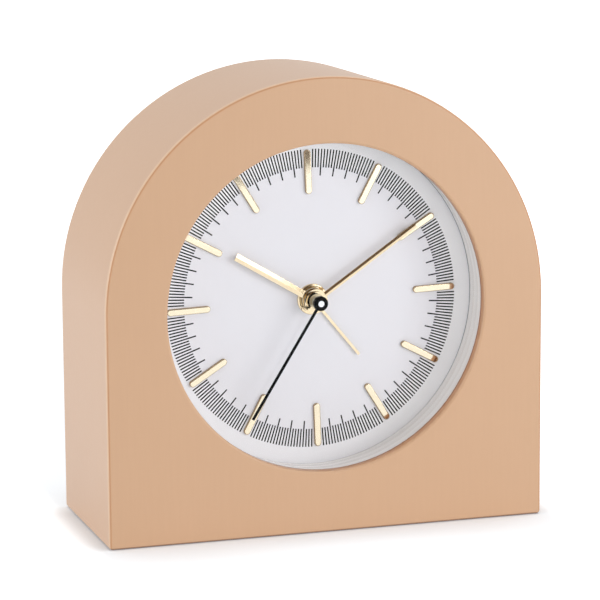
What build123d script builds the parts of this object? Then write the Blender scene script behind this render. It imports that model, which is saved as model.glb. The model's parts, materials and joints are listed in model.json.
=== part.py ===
# An arch-topped table clock with an alarm: a painted wooden body, a glass, a white inner wall,
# a printed dial with applied batons, four hands, and a battery alarm movement in a black back cup.
# Millimetres. The clock stands on Z = 0, its face looks along -Y, and X = 0, Y = 0 is mid-body.
# A "depth" is measured back from the painted front face. Places on the dial and in the movement
# are (x, z) from the axis of the hands, as seen from the front.
import os
from math import atan2, cos, degrees, hypot, radians, sin

from build123d import *

os.makedirs("parts", exist_ok=True)

# Body
opening_diameter = 87.0
face_border = 16.5
arch_rise = 1.0
opening_drop = 0.25
case_depth = 50.0
lip_depth = 2.8
lip_overhang = 3.5
outer_rounding = 0.8
base_corner_rounding = 1.0
opening_rounding = 0.6
drop_in_gap = 0.3

# Glass, inner wall and dial
glass_thickness = 2.0
glass_chamfer = 0.3
ring_length = 10.2
ring_wall = 1.9
dial_thickness = 0.6
dial_hole_gap = 0.1
dial_turn = 1.84

# Batons
hours = 12
marker_length = 11.8
marker_width = 1.8
marker_thickness = 0.8
marker_inset = 4.7
marker_rounding = 0.25

# Back cup
cup_wall = 2.1
cup_floor = 2.0
flange_width = 5.8
flange_thickness = 3.0
flange_gap = 0.2
cover_screw_count = 4
cover_screw_length = 10.0
cover_screw_radius = 1.25
screw_head_share = 2.0
screw_slot_width = 0.6
sound_hole_radius = 0.7
sound_hole_count = 6

# Movement housing
movement_clearance = 2.2
movement_corner = 3.0
plate_thickness = 1.5
housing_wall = 1.2
housing_floor = 1.5
boss_radius = 2.2
boss_sink = 0.4
pillar_radius = 1.6
bridge_clearance = 0.9
pin_radius = 0.7
post_radius = 1.1
movement_screw_radius = 0.8

# Battery and its contacts
battery_diameter = 14.3
battery_clearance = 0.5
battery_pole_radius = 2.7
battery_pole_length = 1.2
contact_thickness = 0.4
contact_width = 9.0
contact_spring_reach = 6.3
door_gap = 0.3
door_rounding = 1.2
door_grip_depth = 0.8
door_latch_length = 3.0
door_latch_thickness = 0.9

# Arbors and pipes, from the centre out
running_gap = 0.05
press_gap = 0.02
second_arbor_radius = 0.5
train_arbor_radius = 0.4
knob_arbor_radius = 0.8
centre_tube_wall = 0.65
minute_pipe_wall = 0.8
hour_pipe_wall = 0.5
alarm_pipe_wall = 0.5
bush_wall = 0.45
bush_proud = 0.2
arbor_end_gap = 0.3

# Hands: heights are above the dial
alarm_hand_height = 0.7
hour_hand_height = 1.95
minute_hand_height = 3.3
second_hand_height = 7.0
hand_thickness = 0.25
hand_ridge = 0.2
alarm_hand_width = 0.72
hour_hand_width = 2.0
minute_hand_width = 1.3
second_hand_width = 0.75
alarm_hub_wall = 0.35
hour_collar_wall = 0.6
minute_collar_wall = 0.6
minute_hub_wall = 1.15
second_boss_radius = 1.95
second_boss_proud = 0.5
second_pin_radius = 0.82
collar_proud = 0.25
hub_tuck = 0.2
alarm_hand_short = 8.1
hour_hand_short = 3.2
minute_hand_short = 6.3
second_hand_short = 4.6
alarm_hand_clock_angle = 140.7
hour_hand_clock_angle = 300.8
minute_hand_clock_angle = 55.8
second_hand_clock_angle = 212.1

# Gears: a tooth's outline in modules, and its half widths as shares of the pitch
wheel_addendum = 0.8
pinion_addendum = 0.6
dedendum = 1.1
tooth_root_share = 0.25
tooth_tip_share = 0.10
alarm_wheel_teeth, alarm_pinion_teeth = 48, 16
cannon_teeth, motion_wheel_teeth = 16, 48
motion_pinion_teeth, hour_wheel_teeth = 12, 48
centre_teeth, third_pinion_teeth = 64, 8
third_teeth, second_pinion_teeth = 60, 8
second_teeth, intermediate_pinion_teeth = 60, 10
intermediate_teeth, rotor_pinion_teeth = 40, 8
web_hole_count = 4

# Knobs and switch
knob_radius = 5.5
knob_length = 6.0
knob_gap = 0.4
knob_flutes = 16
knob_flute_radius = 0.5
knob_rounding = 0.5
switch_travel = 4.0
switch_size = 4.0
switch_gap = 0.3
switch_clearance = 0.7
switch_plate_thickness = 0.9
switch_plate_border = 1.4
switch_proud = 2.2

# Electrics
stator_thickness = 1.0
stator_gap = 0.45
magnet_radius = 2.5
coil_core_thickness = 1.0
bobbin_tube_radius = 2.2
bobbin_flange_radius = 3.4
bobbin_flange_thickness = 0.8
board_thickness = 1.0
board_clearance = 1.75
chip_size = 4.0
chip_thickness = 1.2
crystal_radius = 1.0
crystal_length = 6.0
buzzer_radius = 4.5
buzzer_length = 5.0
buzzer_hole_radius = 1.2
leaf_thickness = 0.25
leaf_width = 2.0

# Worked out: the body and what drops into it
overrun = 1.0
opening_radius = opening_diameter / 2
case_width = opening_diameter + 2 * face_border
arch_radius = case_width / 2
opening_height = opening_radius + face_border
axis_height = opening_height + opening_drop
spring_height = opening_height + arch_rise
front_y = -case_depth / 2
bore_radius = opening_radius + lip_overhang
insert_radius = bore_radius - drop_in_gap
ring_inner_radius = insert_radius - ring_wall
cup_inner_radius = insert_radius - cup_wall
flange_radius = bore_radius + flange_width
cover_screw_circle = (insert_radius + flange_radius) / 2

# Worked out: depths behind the painted face
glass_back = lip_depth + glass_thickness
dial_front = glass_back + ring_length
dial_back = dial_front + dial_thickness
plate_back = dial_back + plate_thickness
works_depth = battery_diameter + 2 * battery_clearance
housing_inside = plate_back + works_depth
housing_back = housing_inside + housing_floor
cup_floor_back = housing_back + cup_floor
bush_front = dial_front - bush_proud

# Worked out: the movement, a square that fits the cup's round
half = (cup_inner_radius - movement_clearance) * cos(radians(45))
inside = half - housing_wall
bay_height = battery_diameter + 2 * battery_clearance
bay_top = bay_height - inside
battery_z = -inside + bay_height / 2
chamber_bottom = bay_top + housing_wall
boss_inset = boss_radius - boss_sink
boss_spots = [
    (side * (inside - boss_inset), z)
    for side in (-1, 1)
    for z in (chamber_bottom + boss_inset, inside - boss_inset)
]

# Worked out: radii of the pipes
tube_bore = second_arbor_radius + running_gap
tube_radius = tube_bore + centre_tube_wall
minute_bore = tube_radius + running_gap
minute_pipe_radius = minute_bore + minute_pipe_wall
hour_bore = minute_pipe_radius + running_gap
hour_pipe_radius = hour_bore + hour_pipe_wall
alarm_bore = hour_pipe_radius + running_gap
alarm_pipe_radius = alarm_bore + alarm_pipe_wall
bush_bore = alarm_pipe_radius + running_gap
bush_radius = bush_bore + bush_wall
dial_hole_radius = bush_radius + dial_hole_gap

# Worked out: the levels of the train, as shares of the room between plate and rear wall
wheel_thickness = 0.06 * works_depth
level_shares = {
    "alarm": 0.02,
    "hour": 0.11,
    "motion": 0.20,
    "bridge": 0.29,
    "bridge_back": 0.37,
    "centre": 0.39,
    "third": 0.48,
    "second": 0.57,
    "intermediate": 0.66,
    "magnet": 0.75,
    "stator": 0.785,
    "magnet_back": 0.88,
}
level = {name: plate_back + share * works_depth for name, share in level_shares.items()}

# Worked out: the axes of the train, from distances that are shares of the movement's half width
third_distance_share = 0.30
intermediate_distance_share = 0.305
rotor_distance_share = 0.208
motion_distance_share = 0.333
alarm_distance_share = 0.34
third_angle = 150
intermediate_angle = 85
rotor_angle = 45
motion_angle = -10
alarm_angle = 215


def away(distance_share, angle, start=(0, 0)):
    """The place at this share of the half width and this angle from another place."""
    reach = distance_share * half
    return (start[0] + reach * cos(radians(angle)), start[1] + reach * sin(radians(angle)))


hand_axis = (0, 0)
third_axis = away(third_distance_share, third_angle)
intermediate_axis = away(intermediate_distance_share, intermediate_angle)
rotor_axis = away(rotor_distance_share, rotor_angle, intermediate_axis)
motion_axis = away(motion_distance_share, motion_angle)
alarm_axis = away(alarm_distance_share, alarm_angle)

# Worked out: lengths of the hands and the batons' place
marker_outer_radius = ring_inner_radius - marker_inset
marker_inner_radius = marker_outer_radius - marker_length
alarm_hand_length = marker_inner_radius - alarm_hand_short
hour_hand_length = marker_inner_radius - hour_hand_short
minute_hand_length = marker_outer_radius - minute_hand_short
second_hand_length = marker_outer_radius - second_hand_short

# Worked out: places in the movement, as shares of its half width
bridge_edge = 0.08 * half
pillar_low = chamber_bottom + bridge_clearance + bridge_edge
pillar_high = 0.62 * half
pillar_spots = [
    (-0.70 * half, pillar_low),
    (0.68 * half, pillar_low),
    (-0.66 * half, pillar_high),
    (0.70 * half, pillar_high),
]
leaf_post = (-0.52 * half, 0.42 * half)
stator_arm_reach = 0.335 * half
stator_post_left = rotor_axis[0] - stator_arm_reach - post_radius
switch_reach = (switch_size + switch_travel) / 2 + switch_plate_border
switch_centre = (stator_post_left - switch_clearance - switch_reach, 0.54 * half)
stator_arm_width = 0.13 * half
stator_top = 0.89 * half
core_height = 0.78 * half
core_width = 0.10 * half
board_right = switch_centre[0] - switch_reach - board_clearance
board_bottom = -0.12 * half
board_top = 0.76 * half
buzzer_spot = (0.77 * half, 0.20 * half)


def front_plane(depth, place=(0, 0), clockwise=0):
    """A plane across the clock that faces the viewer, its upright turned to a clock angle."""
    turn = radians(clockwise)
    return Plane(
        origin=(place[0], front_y + depth, axis_height + place[1]),
        x_dir=(cos(turn), 0, -sin(turn)),
        z_dir=(0, -1, 0),
    )


def side_plane(x, depth, z):
    """A plane that faces right, with its own x along the clock's depth."""
    return Plane(origin=(x, front_y + depth, axis_height + z), x_dir=(0, 1, 0), z_dir=(1, 0, 0))


def disc(front, back, radius, bore=0, place=(0, 0), mode=Mode.ADD):
    """A round of the part in hand, between two depths, with or without a bore."""
    with BuildSketch(front_plane(back, place)) as profile:
        Circle(radius)
        if bore:
            Circle(bore, mode=Mode.SUBTRACT)
    extrude(profile.sketch, amount=back - front, mode=mode)


def block(front, back, left, right, low, high, mode=Mode.ADD):
    """A square-edged block of the part in hand, between two depths."""
    middle = ((left + right) / 2, (low + high) / 2)
    with BuildSketch(front_plane(back, middle)) as profile:
        Rectangle(right - left, high - low)
    extrude(profile.sketch, amount=back - front, mode=mode)


def gear_outline(teeth, module, turn, addendum):
    """The corners of a spur gear, tooth by tooth."""
    pitch_radius = module * teeth / 2
    root, tip = pitch_radius - dedendum * module, pitch_radius + addendum * module
    pitch = 360 / teeth
    corners = []
    for tooth in range(teeth):
        for radius, share in (
            (root, -tooth_root_share),
            (tip, -tooth_tip_share),
            (tip, tooth_tip_share),
            (root, tooth_root_share),
        ):
            angle = radians(turn + (tooth + share) * pitch)
            corners.append((radius * cos(angle), radius * sin(angle)))
    return corners


def gear(front, back, teeth, module, turn, place, addendum=wheel_addendum):
    """A toothed wheel or pinion of the part in hand, between two depths."""
    with BuildSketch(front_plane(back, place)) as profile:
        with BuildLine():
            Polyline(*gear_outline(teeth, module, turn, addendum), close=True)
        make_face()
    extrude(profile.sketch, amount=back - front)


def web_holes(front, back, module, teeth, place):
    """Round crossings that lighten a wheel, midway between its hub and its rim."""
    circle = module * teeth / 4 + pin_radius / 2
    with BuildSketch(front_plane(back, place)) as profile:
        with PolarLocations(circle, web_hole_count):
            Circle(circle / 3)
    extrude(profile.sketch, amount=back - front, mode=Mode.SUBTRACT)


def module_for(distance, teeth_a, teeth_b):
    return 2 * distance / (teeth_a + teeth_b)


def meshing_turn(start, end, start_teeth, start_turn, end_teeth):
    """How far the second gear is turned so that its gaps meet the first gear's teeth."""
    line = degrees(atan2(end[1] - start[1], end[0] - start[0]))
    phase = (line - start_turn) * start_teeth / 360
    return line + 180 - (0.5 - phase) * 360 / end_teeth


# Worked out: the gears' modules and how they stand in mesh
alarm_module = module_for(hypot(*alarm_axis), alarm_wheel_teeth, alarm_pinion_teeth)
cannon_module = module_for(hypot(*motion_axis), cannon_teeth, motion_wheel_teeth)
hour_module = module_for(hypot(*motion_axis), motion_pinion_teeth, hour_wheel_teeth)
centre_module = module_for(hypot(*third_axis), centre_teeth, third_pinion_teeth)
third_module = module_for(hypot(*third_axis), third_teeth, second_pinion_teeth)
second_module = module_for(hypot(*intermediate_axis), second_teeth, intermediate_pinion_teeth)
intermediate_module = module_for(
    rotor_distance_share * half, intermediate_teeth, rotor_pinion_teeth
)
alarm_pinion_turn = meshing_turn(hand_axis, alarm_axis, alarm_wheel_teeth, 0, alarm_pinion_teeth)
motion_wheel_turn = meshing_turn(hand_axis, motion_axis, cannon_teeth, 0, motion_wheel_teeth)
hour_wheel_turn = meshing_turn(motion_axis, hand_axis, motion_pinion_teeth, 0, hour_wheel_teeth)
third_pinion_turn = meshing_turn(hand_axis, third_axis, centre_teeth, 0, third_pinion_teeth)
second_pinion_turn = meshing_turn(third_axis, hand_axis, third_teeth, 0, second_pinion_teeth)
intermediate_pinion_turn = meshing_turn(
    hand_axis, intermediate_axis, second_teeth, 0, intermediate_pinion_teeth
)
rotor_pinion_turn = meshing_turn(
    intermediate_axis, rotor_axis, intermediate_teeth, 0, rotor_pinion_teeth
)

# The body: an arch of board, turned out from behind to leave a thin lip round the opening
screw_spots = [
    (cover_screw_circle * cos(radians(a)), cover_screw_circle * sin(radians(a)))
    for a in [(i + 1 / 2) * 360 / cover_screw_count for i in range(cover_screw_count)]
]
with BuildPart() as case_body:
    with BuildSketch(front_plane(case_depth, (0, -axis_height))):
        with BuildLine():
            Line((-case_width / 2, spring_height), (-case_width / 2, 0))
            Line((-case_width / 2, 0), (case_width / 2, 0))
            Line((case_width / 2, 0), (case_width / 2, spring_height))
            CenterArc((0, spring_height), arch_radius, 0, 180)
        make_face()
    extrude(amount=case_depth)
    fillet(case_body.edges().filter_by(Axis.Y).group_by(Axis.Z)[0], base_corner_rounding)
    fillet(case_body.faces().sort_by(Axis.Y)[0].edges(), outer_rounding)
    fillet(case_body.faces().sort_by(Axis.Y)[-1].edges(), outer_rounding)
    disc(
        -overrun,
        case_depth + overrun,
        opening_radius,
        place=(0, -opening_drop),
        mode=Mode.SUBTRACT,
    )
    disc(lip_depth, case_depth + overrun, bore_radius, mode=Mode.SUBTRACT)
    disc(
        case_depth - flange_thickness,
        case_depth + overrun,
        flange_radius + flange_gap,
        mode=Mode.SUBTRACT,
    )
    for spot in screw_spots:
        disc(
            case_depth - cover_screw_length - overrun,
            case_depth,
            cover_screw_radius + press_gap,
            place=spot,
            mode=Mode.SUBTRACT,
        )
    fillet(
        case_body.faces().sort_by(Axis.Y)[0].inner_wires()[0].edges(), opening_rounding
    )

# The glass, a flat disc against the back of the lip
with BuildPart() as front_lens:
    disc(lip_depth, glass_back, insert_radius)
    chamfer(front_lens.edges().sort_by(Axis.Y)[-1], glass_chamfer)

# The white wall between glass and dial
with BuildPart() as spacer_ring:
    disc(glass_back, dial_front, insert_radius, bore=ring_inner_radius)

# The dial
with BuildPart() as dial_plate:
    disc(dial_front, dial_back, insert_radius, bore=dial_hole_radius)

# The batons, one solid each, stuck to the dial
markers = []
for hour in range(1, hours + 1):
    with BuildPart() as marker:
        with BuildSketch(front_plane(dial_front, clockwise=hour * 360 / hours - dial_turn)):
            with Locations((0, (marker_inner_radius + marker_outer_radius) / 2)):
                SlotOverall(marker_length, marker_width, rotation=90)
        extrude(amount=marker_thickness)
        fillet(marker.faces().sort_by(Axis.Y)[0].edges(), marker_rounding)
    markers.append(marker)

# The black cup behind: it presses ring, dial and movement forward, and its floor carries the controls
slot_half_width = (switch_size + switch_travel) / 2 + switch_gap
slot_half_height = switch_size / 2 + switch_gap
window_half_width = inside - housing_wall
window_low = battery_z - battery_diameter / 2 + battery_clearance
window_high = battery_z + battery_diameter / 2
with BuildPart() as back_cup:
    disc(dial_back, case_depth, insert_radius, bore=cup_inner_radius)
    disc(housing_back, cup_floor_back, insert_radius)
    disc(case_depth - flange_thickness, case_depth, flange_radius, bore=cup_inner_radius)
    for arbor in (motion_axis, alarm_axis):
        disc(
            housing_back - overrun,
            case_depth,
            knob_arbor_radius + knob_gap,
            place=arbor,
            mode=Mode.SUBTRACT,
        )
    block(
        housing_back - overrun,
        case_depth,
        switch_centre[0] - slot_half_width,
        switch_centre[0] + slot_half_width,
        switch_centre[1] - slot_half_height,
        switch_centre[1] + slot_half_height,
        mode=Mode.SUBTRACT,
    )
    block(
        housing_back - overrun,
        case_depth,
        -window_half_width,
        window_half_width,
        window_low,
        window_high,
        mode=Mode.SUBTRACT,
    )
    with BuildSketch(front_plane(cup_floor_back, buzzer_spot)):
        Circle(sound_hole_radius)
        with PolarLocations(buzzer_radius / 2, sound_hole_count):
            Circle(sound_hole_radius)
    extrude(amount=cup_floor, mode=Mode.SUBTRACT)
    with Locations(*[front_plane(case_depth, spot) for spot in screw_spots]):
        Cone(
            screw_head_share * cover_screw_radius + press_gap,
            cover_screw_radius + press_gap,
            cover_screw_radius,
            align=(Align.CENTER, Align.CENTER, Align.MIN),
            mode=Mode.SUBTRACT,
        )
        Cylinder(
            cover_screw_radius + press_gap,
            flange_thickness,
            align=(Align.CENTER, Align.CENTER, Align.MIN),
            mode=Mode.SUBTRACT,
        )


def screws(depth, spots, radius, length):
    """Countersunk screws with crossed slots, their heads at this depth, in the part in hand."""
    with Locations(*[front_plane(depth, spot) for spot in spots]):
        Cylinder(radius, length, align=(Align.CENTER, Align.CENTER, Align.MIN))
        Cone(
            screw_head_share * radius,
            radius,
            radius,
            align=(Align.CENTER, Align.CENTER, Align.MIN),
        )
        for turn in (0, 90):
            Box(
                2 * radius,
                screw_slot_width * radius / cover_screw_radius,
                radius,
                rotation=(0, 0, turn),
                mode=Mode.SUBTRACT,
            )


with BuildPart() as cover_screws:
    screws(case_depth, screw_spots, cover_screw_radius, cover_screw_length)

# The movement's front plate, with the bush for the pipes and the pillars of the train bridge
with BuildPart() as movement_front_plate:
    with BuildSketch(front_plane(plate_back)):
        RectangleRounded(2 * half, 2 * half, movement_corner)
    extrude(amount=plate_thickness)
    disc(bush_front, plate_back, bush_radius)
    for spot in pillar_spots:
        disc(plate_back, level["bridge"], pillar_radius, place=spot)
        disc(level["bridge"], level["bridge_back"], pin_radius, place=spot)
    disc(plate_back, level["motion"] - leaf_thickness, post_radius, place=leaf_post)
    disc(bush_front - overrun, plate_back, bush_bore, mode=Mode.SUBTRACT)
    for arbor in (motion_axis, alarm_axis):
        disc(
            dial_back, plate_back, knob_arbor_radius + running_gap, place=arbor, mode=Mode.SUBTRACT
        )
    for spot in boss_spots:
        disc(dial_back, plate_back, movement_screw_radius + press_gap, place=spot, mode=Mode.SUBTRACT)

# The bridge between the motion work and the going train
pillar_xs = [x for x, z in pillar_spots]
with BuildPart() as train_bridge:
    block(
        level["bridge"],
        level["bridge_back"],
        min(pillar_xs) - bridge_edge,
        max(pillar_xs) + bridge_edge,
        pillar_low - bridge_edge,
        pillar_high + bridge_edge,
    )
    for place, radius in (
        (hand_axis, tube_radius + running_gap),
        (motion_axis, knob_arbor_radius + running_gap),
        (alarm_axis, knob_arbor_radius + running_gap),
        (third_axis, train_arbor_radius + running_gap),
        (intermediate_axis, train_arbor_radius + running_gap),
        (rotor_axis, train_arbor_radius + running_gap),
        *[(spot, pin_radius + press_gap) for spot in pillar_spots],
    ):
        disc(level["bridge"], level["bridge_back"], radius, place=place, mode=Mode.SUBTRACT)

# The movement's rear housing: walls, battery bay, screw bosses and the posts that carry the stator
stator_back = level["stator"] + stator_thickness
stator_posts = [
    (rotor_axis[0] + side * stator_arm_reach, (rotor_axis[1] + core_height) / 2)
    for side in (-1, 1)
]
with BuildPart() as movement_rear_housing:
    with BuildSketch(front_plane(housing_back)):
        RectangleRounded(2 * half, 2 * half, movement_corner)
    extrude(amount=housing_back - plate_back)
    with BuildSketch(front_plane(housing_inside)):
        RectangleRounded(2 * inside, 2 * inside, movement_corner - housing_wall)
    extrude(amount=works_depth, mode=Mode.SUBTRACT)
    block(plate_back, housing_inside, -inside, inside, bay_top, chamber_bottom)
    for spot in boss_spots:
        disc(plate_back, housing_inside, boss_radius, place=spot)
    for post in stator_posts:
        disc(stator_back, housing_inside, post_radius, place=post)
    for side in (-1, 1):
        edge = side * (inside - contact_thickness - running_gap)
        block(
            housing_inside - contact_width,
            housing_inside,
            min(edge, side * inside),
            max(edge, side * inside),
            bay_top,
            chamber_bottom,
            mode=Mode.SUBTRACT,
        )
    block(
        housing_inside,
        housing_back,
        -window_half_width,
        window_half_width,
        window_low,
        window_high,
        mode=Mode.SUBTRACT,
    )
    block(
        housing_inside,
        housing_back,
        switch_centre[0] - slot_half_width,
        switch_centre[0] + slot_half_width,
        switch_centre[1] - slot_half_height,
        switch_centre[1] + slot_half_height,
        mode=Mode.SUBTRACT,
    )
    for place, radius in (
        (hand_axis, second_arbor_radius + running_gap),
        (motion_axis, knob_arbor_radius + running_gap),
        (alarm_axis, knob_arbor_radius + running_gap),
        (third_axis, train_arbor_radius + running_gap),
        (intermediate_axis, train_arbor_radius + running_gap),
        (rotor_axis, train_arbor_radius + running_gap),
        (buzzer_spot, buzzer_hole_radius),
    ):
        disc(housing_inside, housing_back, radius, place=place, mode=Mode.SUBTRACT)
    with Locations(*[front_plane(housing_back, spot) for spot in boss_spots]):
        Cylinder(
            movement_screw_radius + press_gap,
            housing_back - plate_back,
            align=(Align.CENTER, Align.CENTER, Align.MIN),
            mode=Mode.SUBTRACT,
        )
        Cone(
            screw_head_share * movement_screw_radius + press_gap,
            movement_screw_radius + press_gap,
            movement_screw_radius,
            align=(Align.CENTER, Align.CENTER, Align.MIN),
            mode=Mode.SUBTRACT,
        )

with BuildPart() as movement_screws:
    screws(housing_back, boss_spots, movement_screw_radius, housing_back - dial_back)

# The motor: stator, core, bobbin, winding, and the rotor's magnet and pinion
stator_bore = magnet_radius + stator_gap
stator_half_height = stator_bore + stator_gap
with BuildPart() as stator:
    block(
        level["stator"],
        stator_back,
        rotor_axis[0] - stator_arm_reach - stator_arm_width / 2,
        rotor_axis[0] + stator_arm_reach + stator_arm_width / 2,
        rotor_axis[1] - stator_half_height,
        rotor_axis[1] + stator_half_height,
    )
    for side in (-1, 1):
        arm = rotor_axis[0] + side * stator_arm_reach
        block(
            level["stator"],
            stator_back,
            arm - stator_arm_width / 2,
            arm + stator_arm_width / 2,
            rotor_axis[1],
            stator_top,
        )
    disc(level["stator"], stator_back, stator_bore, place=rotor_axis, mode=Mode.SUBTRACT)

core_front = level["stator"] - coil_core_thickness
core_middle = level["stator"] - coil_core_thickness / 2
with BuildPart() as coil_core:
    block(
        core_front,
        level["stator"],
        rotor_axis[0] - stator_arm_reach - stator_arm_width / 2,
        rotor_axis[0] + stator_arm_reach + stator_arm_width / 2,
        core_height - core_width / 2,
        core_height + core_width / 2,
    )

bobbin_left = rotor_axis[0] - stator_arm_reach + stator_arm_width / 2 + stator_gap
bobbin_length = 2 * (rotor_axis[0] - bobbin_left)
with BuildPart() as coil_bobbin:
    with BuildSketch(side_plane(bobbin_left, core_middle, core_height)):
        Circle(bobbin_tube_radius)
    extrude(amount=bobbin_length)
    for start in (0, bobbin_length - bobbin_flange_thickness):
        with BuildSketch(side_plane(bobbin_left + start, core_middle, core_height)):
            Circle(bobbin_flange_radius)
        extrude(amount=bobbin_flange_thickness)
    with BuildSketch(side_plane(bobbin_left, core_middle, core_height)):
        Rectangle(coil_core_thickness + 2 * press_gap, core_width + 2 * press_gap)
    extrude(amount=bobbin_length, mode=Mode.SUBTRACT)

with BuildPart() as coil_winding:
    winding_left = bobbin_left + bobbin_flange_thickness
    with BuildSketch(side_plane(winding_left, core_middle, core_height)):
        Circle(bobbin_flange_radius - drop_in_gap)
        Circle(bobbin_tube_radius, mode=Mode.SUBTRACT)
    extrude(amount=bobbin_length - 2 * bobbin_flange_thickness)

arbor_front = level["bridge"] + arbor_end_gap
arbor_back = housing_back - arbor_end_gap
with BuildPart() as rotor_pinion:
    disc(arbor_front, arbor_back, train_arbor_radius, place=rotor_axis)
    gear(
        level["intermediate"],
        level["magnet"],
        rotor_pinion_teeth,
        intermediate_module,
        rotor_pinion_turn,
        rotor_axis,
        pinion_addendum,
    )

with BuildPart() as rotor_magnet:
    disc(
        level["magnet"],
        level["magnet_back"],
        magnet_radius,
        bore=train_arbor_radius + press_gap,
        place=rotor_axis,
    )

# The going train
with BuildPart() as intermediate_wheel:
    gear(
        level["intermediate"],
        level["intermediate"] + wheel_thickness,
        intermediate_teeth,
        intermediate_module,
        0,
        intermediate_axis,
    )
    gear(
        level["second"],
        level["intermediate"],
        intermediate_pinion_teeth,
        second_module,
        intermediate_pinion_turn,
        intermediate_axis,
        pinion_addendum,
    )
    disc(arbor_front, arbor_back, train_arbor_radius, place=intermediate_axis)

second_boss_front = dial_front - second_hand_height - hand_thickness - second_boss_proud
second_pin_front = second_boss_front - collar_proud
with BuildPart() as second_wheel:
    gear(
        level["second"],
        level["second"] + wheel_thickness,
        second_teeth,
        second_module,
        0,
        hand_axis,
    )
    web_holes(
        level["second"], level["second"] + wheel_thickness, second_module, second_teeth, hand_axis
    )
    gear(
        level["third"],
        level["second"],
        second_pinion_teeth,
        third_module,
        second_pinion_turn,
        hand_axis,
        pinion_addendum,
    )
    disc(second_boss_front, arbor_back, second_arbor_radius)

with BuildPart() as third_wheel:
    gear(
        level["third"], level["third"] + wheel_thickness, third_teeth, third_module, 0, third_axis
    )
    web_holes(
        level["third"], level["third"] + wheel_thickness, third_module, third_teeth, third_axis
    )
    gear(
        level["centre"],
        level["third"],
        third_pinion_teeth,
        centre_module,
        third_pinion_turn,
        third_axis,
        pinion_addendum,
    )
    disc(arbor_front, arbor_back, train_arbor_radius, place=third_axis)

tube_front = dial_front - second_hand_height + 2 * collar_proud
with BuildPart() as centre_wheel:
    gear(
        level["centre"],
        level["centre"] + wheel_thickness,
        centre_teeth,
        centre_module,
        0,
        hand_axis,
    )
    web_holes(
        level["centre"], level["centre"] + wheel_thickness, centre_module, centre_teeth, hand_axis
    )
    disc(tube_front, level["centre"], tube_radius)
    disc(
        tube_front,
        level["centre"] + wheel_thickness,
        tube_bore,
        mode=Mode.SUBTRACT,
    )

# The motion work: the cannon pinion grips the centre wheel's tube and slips when the time is set
minute_pipe_front = dial_front - minute_hand_height - hand_thickness
with BuildPart() as cannon_pinion:
    gear(
        level["motion"],
        level["motion"] + wheel_thickness,
        cannon_teeth,
        cannon_module,
        0,
        hand_axis,
        pinion_addendum,
    )
    disc(minute_pipe_front, level["motion"], minute_pipe_radius)
    disc(
        minute_pipe_front,
        level["motion"] + wheel_thickness,
        minute_bore,
        mode=Mode.SUBTRACT,
    )

knob_front = cup_floor_back + knob_gap
knob_arbor_end = knob_front + knob_length / 2
with BuildPart() as motion_wheel:
    gear(
        level["motion"],
        level["motion"] + wheel_thickness,
        motion_wheel_teeth,
        cannon_module,
        motion_wheel_turn,
        motion_axis,
    )
    gear(
        level["hour"],
        level["motion"],
        motion_pinion_teeth,
        hour_module,
        0,
        motion_axis,
        pinion_addendum,
    )
    disc(dial_back + arbor_end_gap, knob_arbor_end, knob_arbor_radius, place=motion_axis)

hour_pipe_front = dial_front - hour_hand_height - hand_thickness - collar_proud
with BuildPart() as hour_wheel:
    gear(
        level["hour"],
        level["hour"] + wheel_thickness,
        hour_wheel_teeth,
        hour_module,
        hour_wheel_turn,
        hand_axis,
    )
    disc(hour_pipe_front, level["hour"], hour_pipe_radius)
    disc(hour_pipe_front, level["hour"] + wheel_thickness, hour_bore, mode=Mode.SUBTRACT)

alarm_pipe_front = dial_front - alarm_hand_height - hand_thickness
with BuildPart() as alarm_wheel:
    gear(
        level["alarm"],
        level["alarm"] + wheel_thickness,
        alarm_wheel_teeth,
        alarm_module,
        0,
        hand_axis,
    )
    disc(alarm_pipe_front, level["alarm"], alarm_pipe_radius)
    disc(alarm_pipe_front, level["alarm"] + wheel_thickness, alarm_bore, mode=Mode.SUBTRACT)

with BuildPart() as alarm_setting_pinion:
    gear(
        level["alarm"],
        level["alarm"] + wheel_thickness,
        alarm_pinion_teeth,
        alarm_module,
        alarm_pinion_turn,
        alarm_axis,
        pinion_addendum,
    )
    disc(dial_back + arbor_end_gap, knob_arbor_end, knob_arbor_radius, place=alarm_axis)

# The alarm contact: a leaf from a post to just behind the hour wheel's rim
leaf_back = level["motion"]
leaf_angle = degrees(atan2(-leaf_post[1], -leaf_post[0]))
leaf_length = hypot(*leaf_post) - hour_module * hour_wheel_teeth / 3
with BuildPart() as alarm_contact_spring:
    with BuildSketch(front_plane(leaf_back, leaf_post)):
        Circle(post_radius)
        with Locations(Location((0, 0, 0), (0, 0, leaf_angle))):
            Rectangle(leaf_length, leaf_width, align=(Align.MIN, Align.CENTER))
    extrude(amount=leaf_thickness)

# The board with its chip and crystal, and the buzzer, all on the inside of the rear wall
board_left = -inside
board_front = housing_inside - board_thickness
board_middle = ((board_left + board_right) / 2, (board_bottom + board_top) / 2)
with BuildPart() as circuit_board:
    block(board_front, housing_inside, board_left, board_right, board_bottom, board_top)

with BuildPart() as driver_chip:
    block(
        board_front - chip_thickness,
        board_front,
        board_middle[0] - chip_size / 2,
        board_middle[0] + chip_size / 2,
        board_middle[1],
        board_middle[1] + chip_size,
    )

with BuildPart() as quartz_crystal:
    with Locations(
        Plane(
            origin=(
                board_middle[0],
                front_y + board_front - crystal_radius,
                axis_height + board_middle[1] - crystal_radius,
            ),
            z_dir=(0, 0, -1),
        )
    ):
        Cylinder(
            crystal_radius, crystal_length, align=(Align.CENTER, Align.CENTER, Align.MIN)
        )

with BuildPart() as buzzer:
    disc(
        housing_inside - buzzer_length,
        housing_inside,
        buzzer_radius,
        place=buzzer_spot,
    )
    disc(
        housing_inside - buzzer_length / 2,
        housing_inside,
        buzzer_hole_radius,
        place=buzzer_spot,
        mode=Mode.SUBTRACT,
    )

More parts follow.
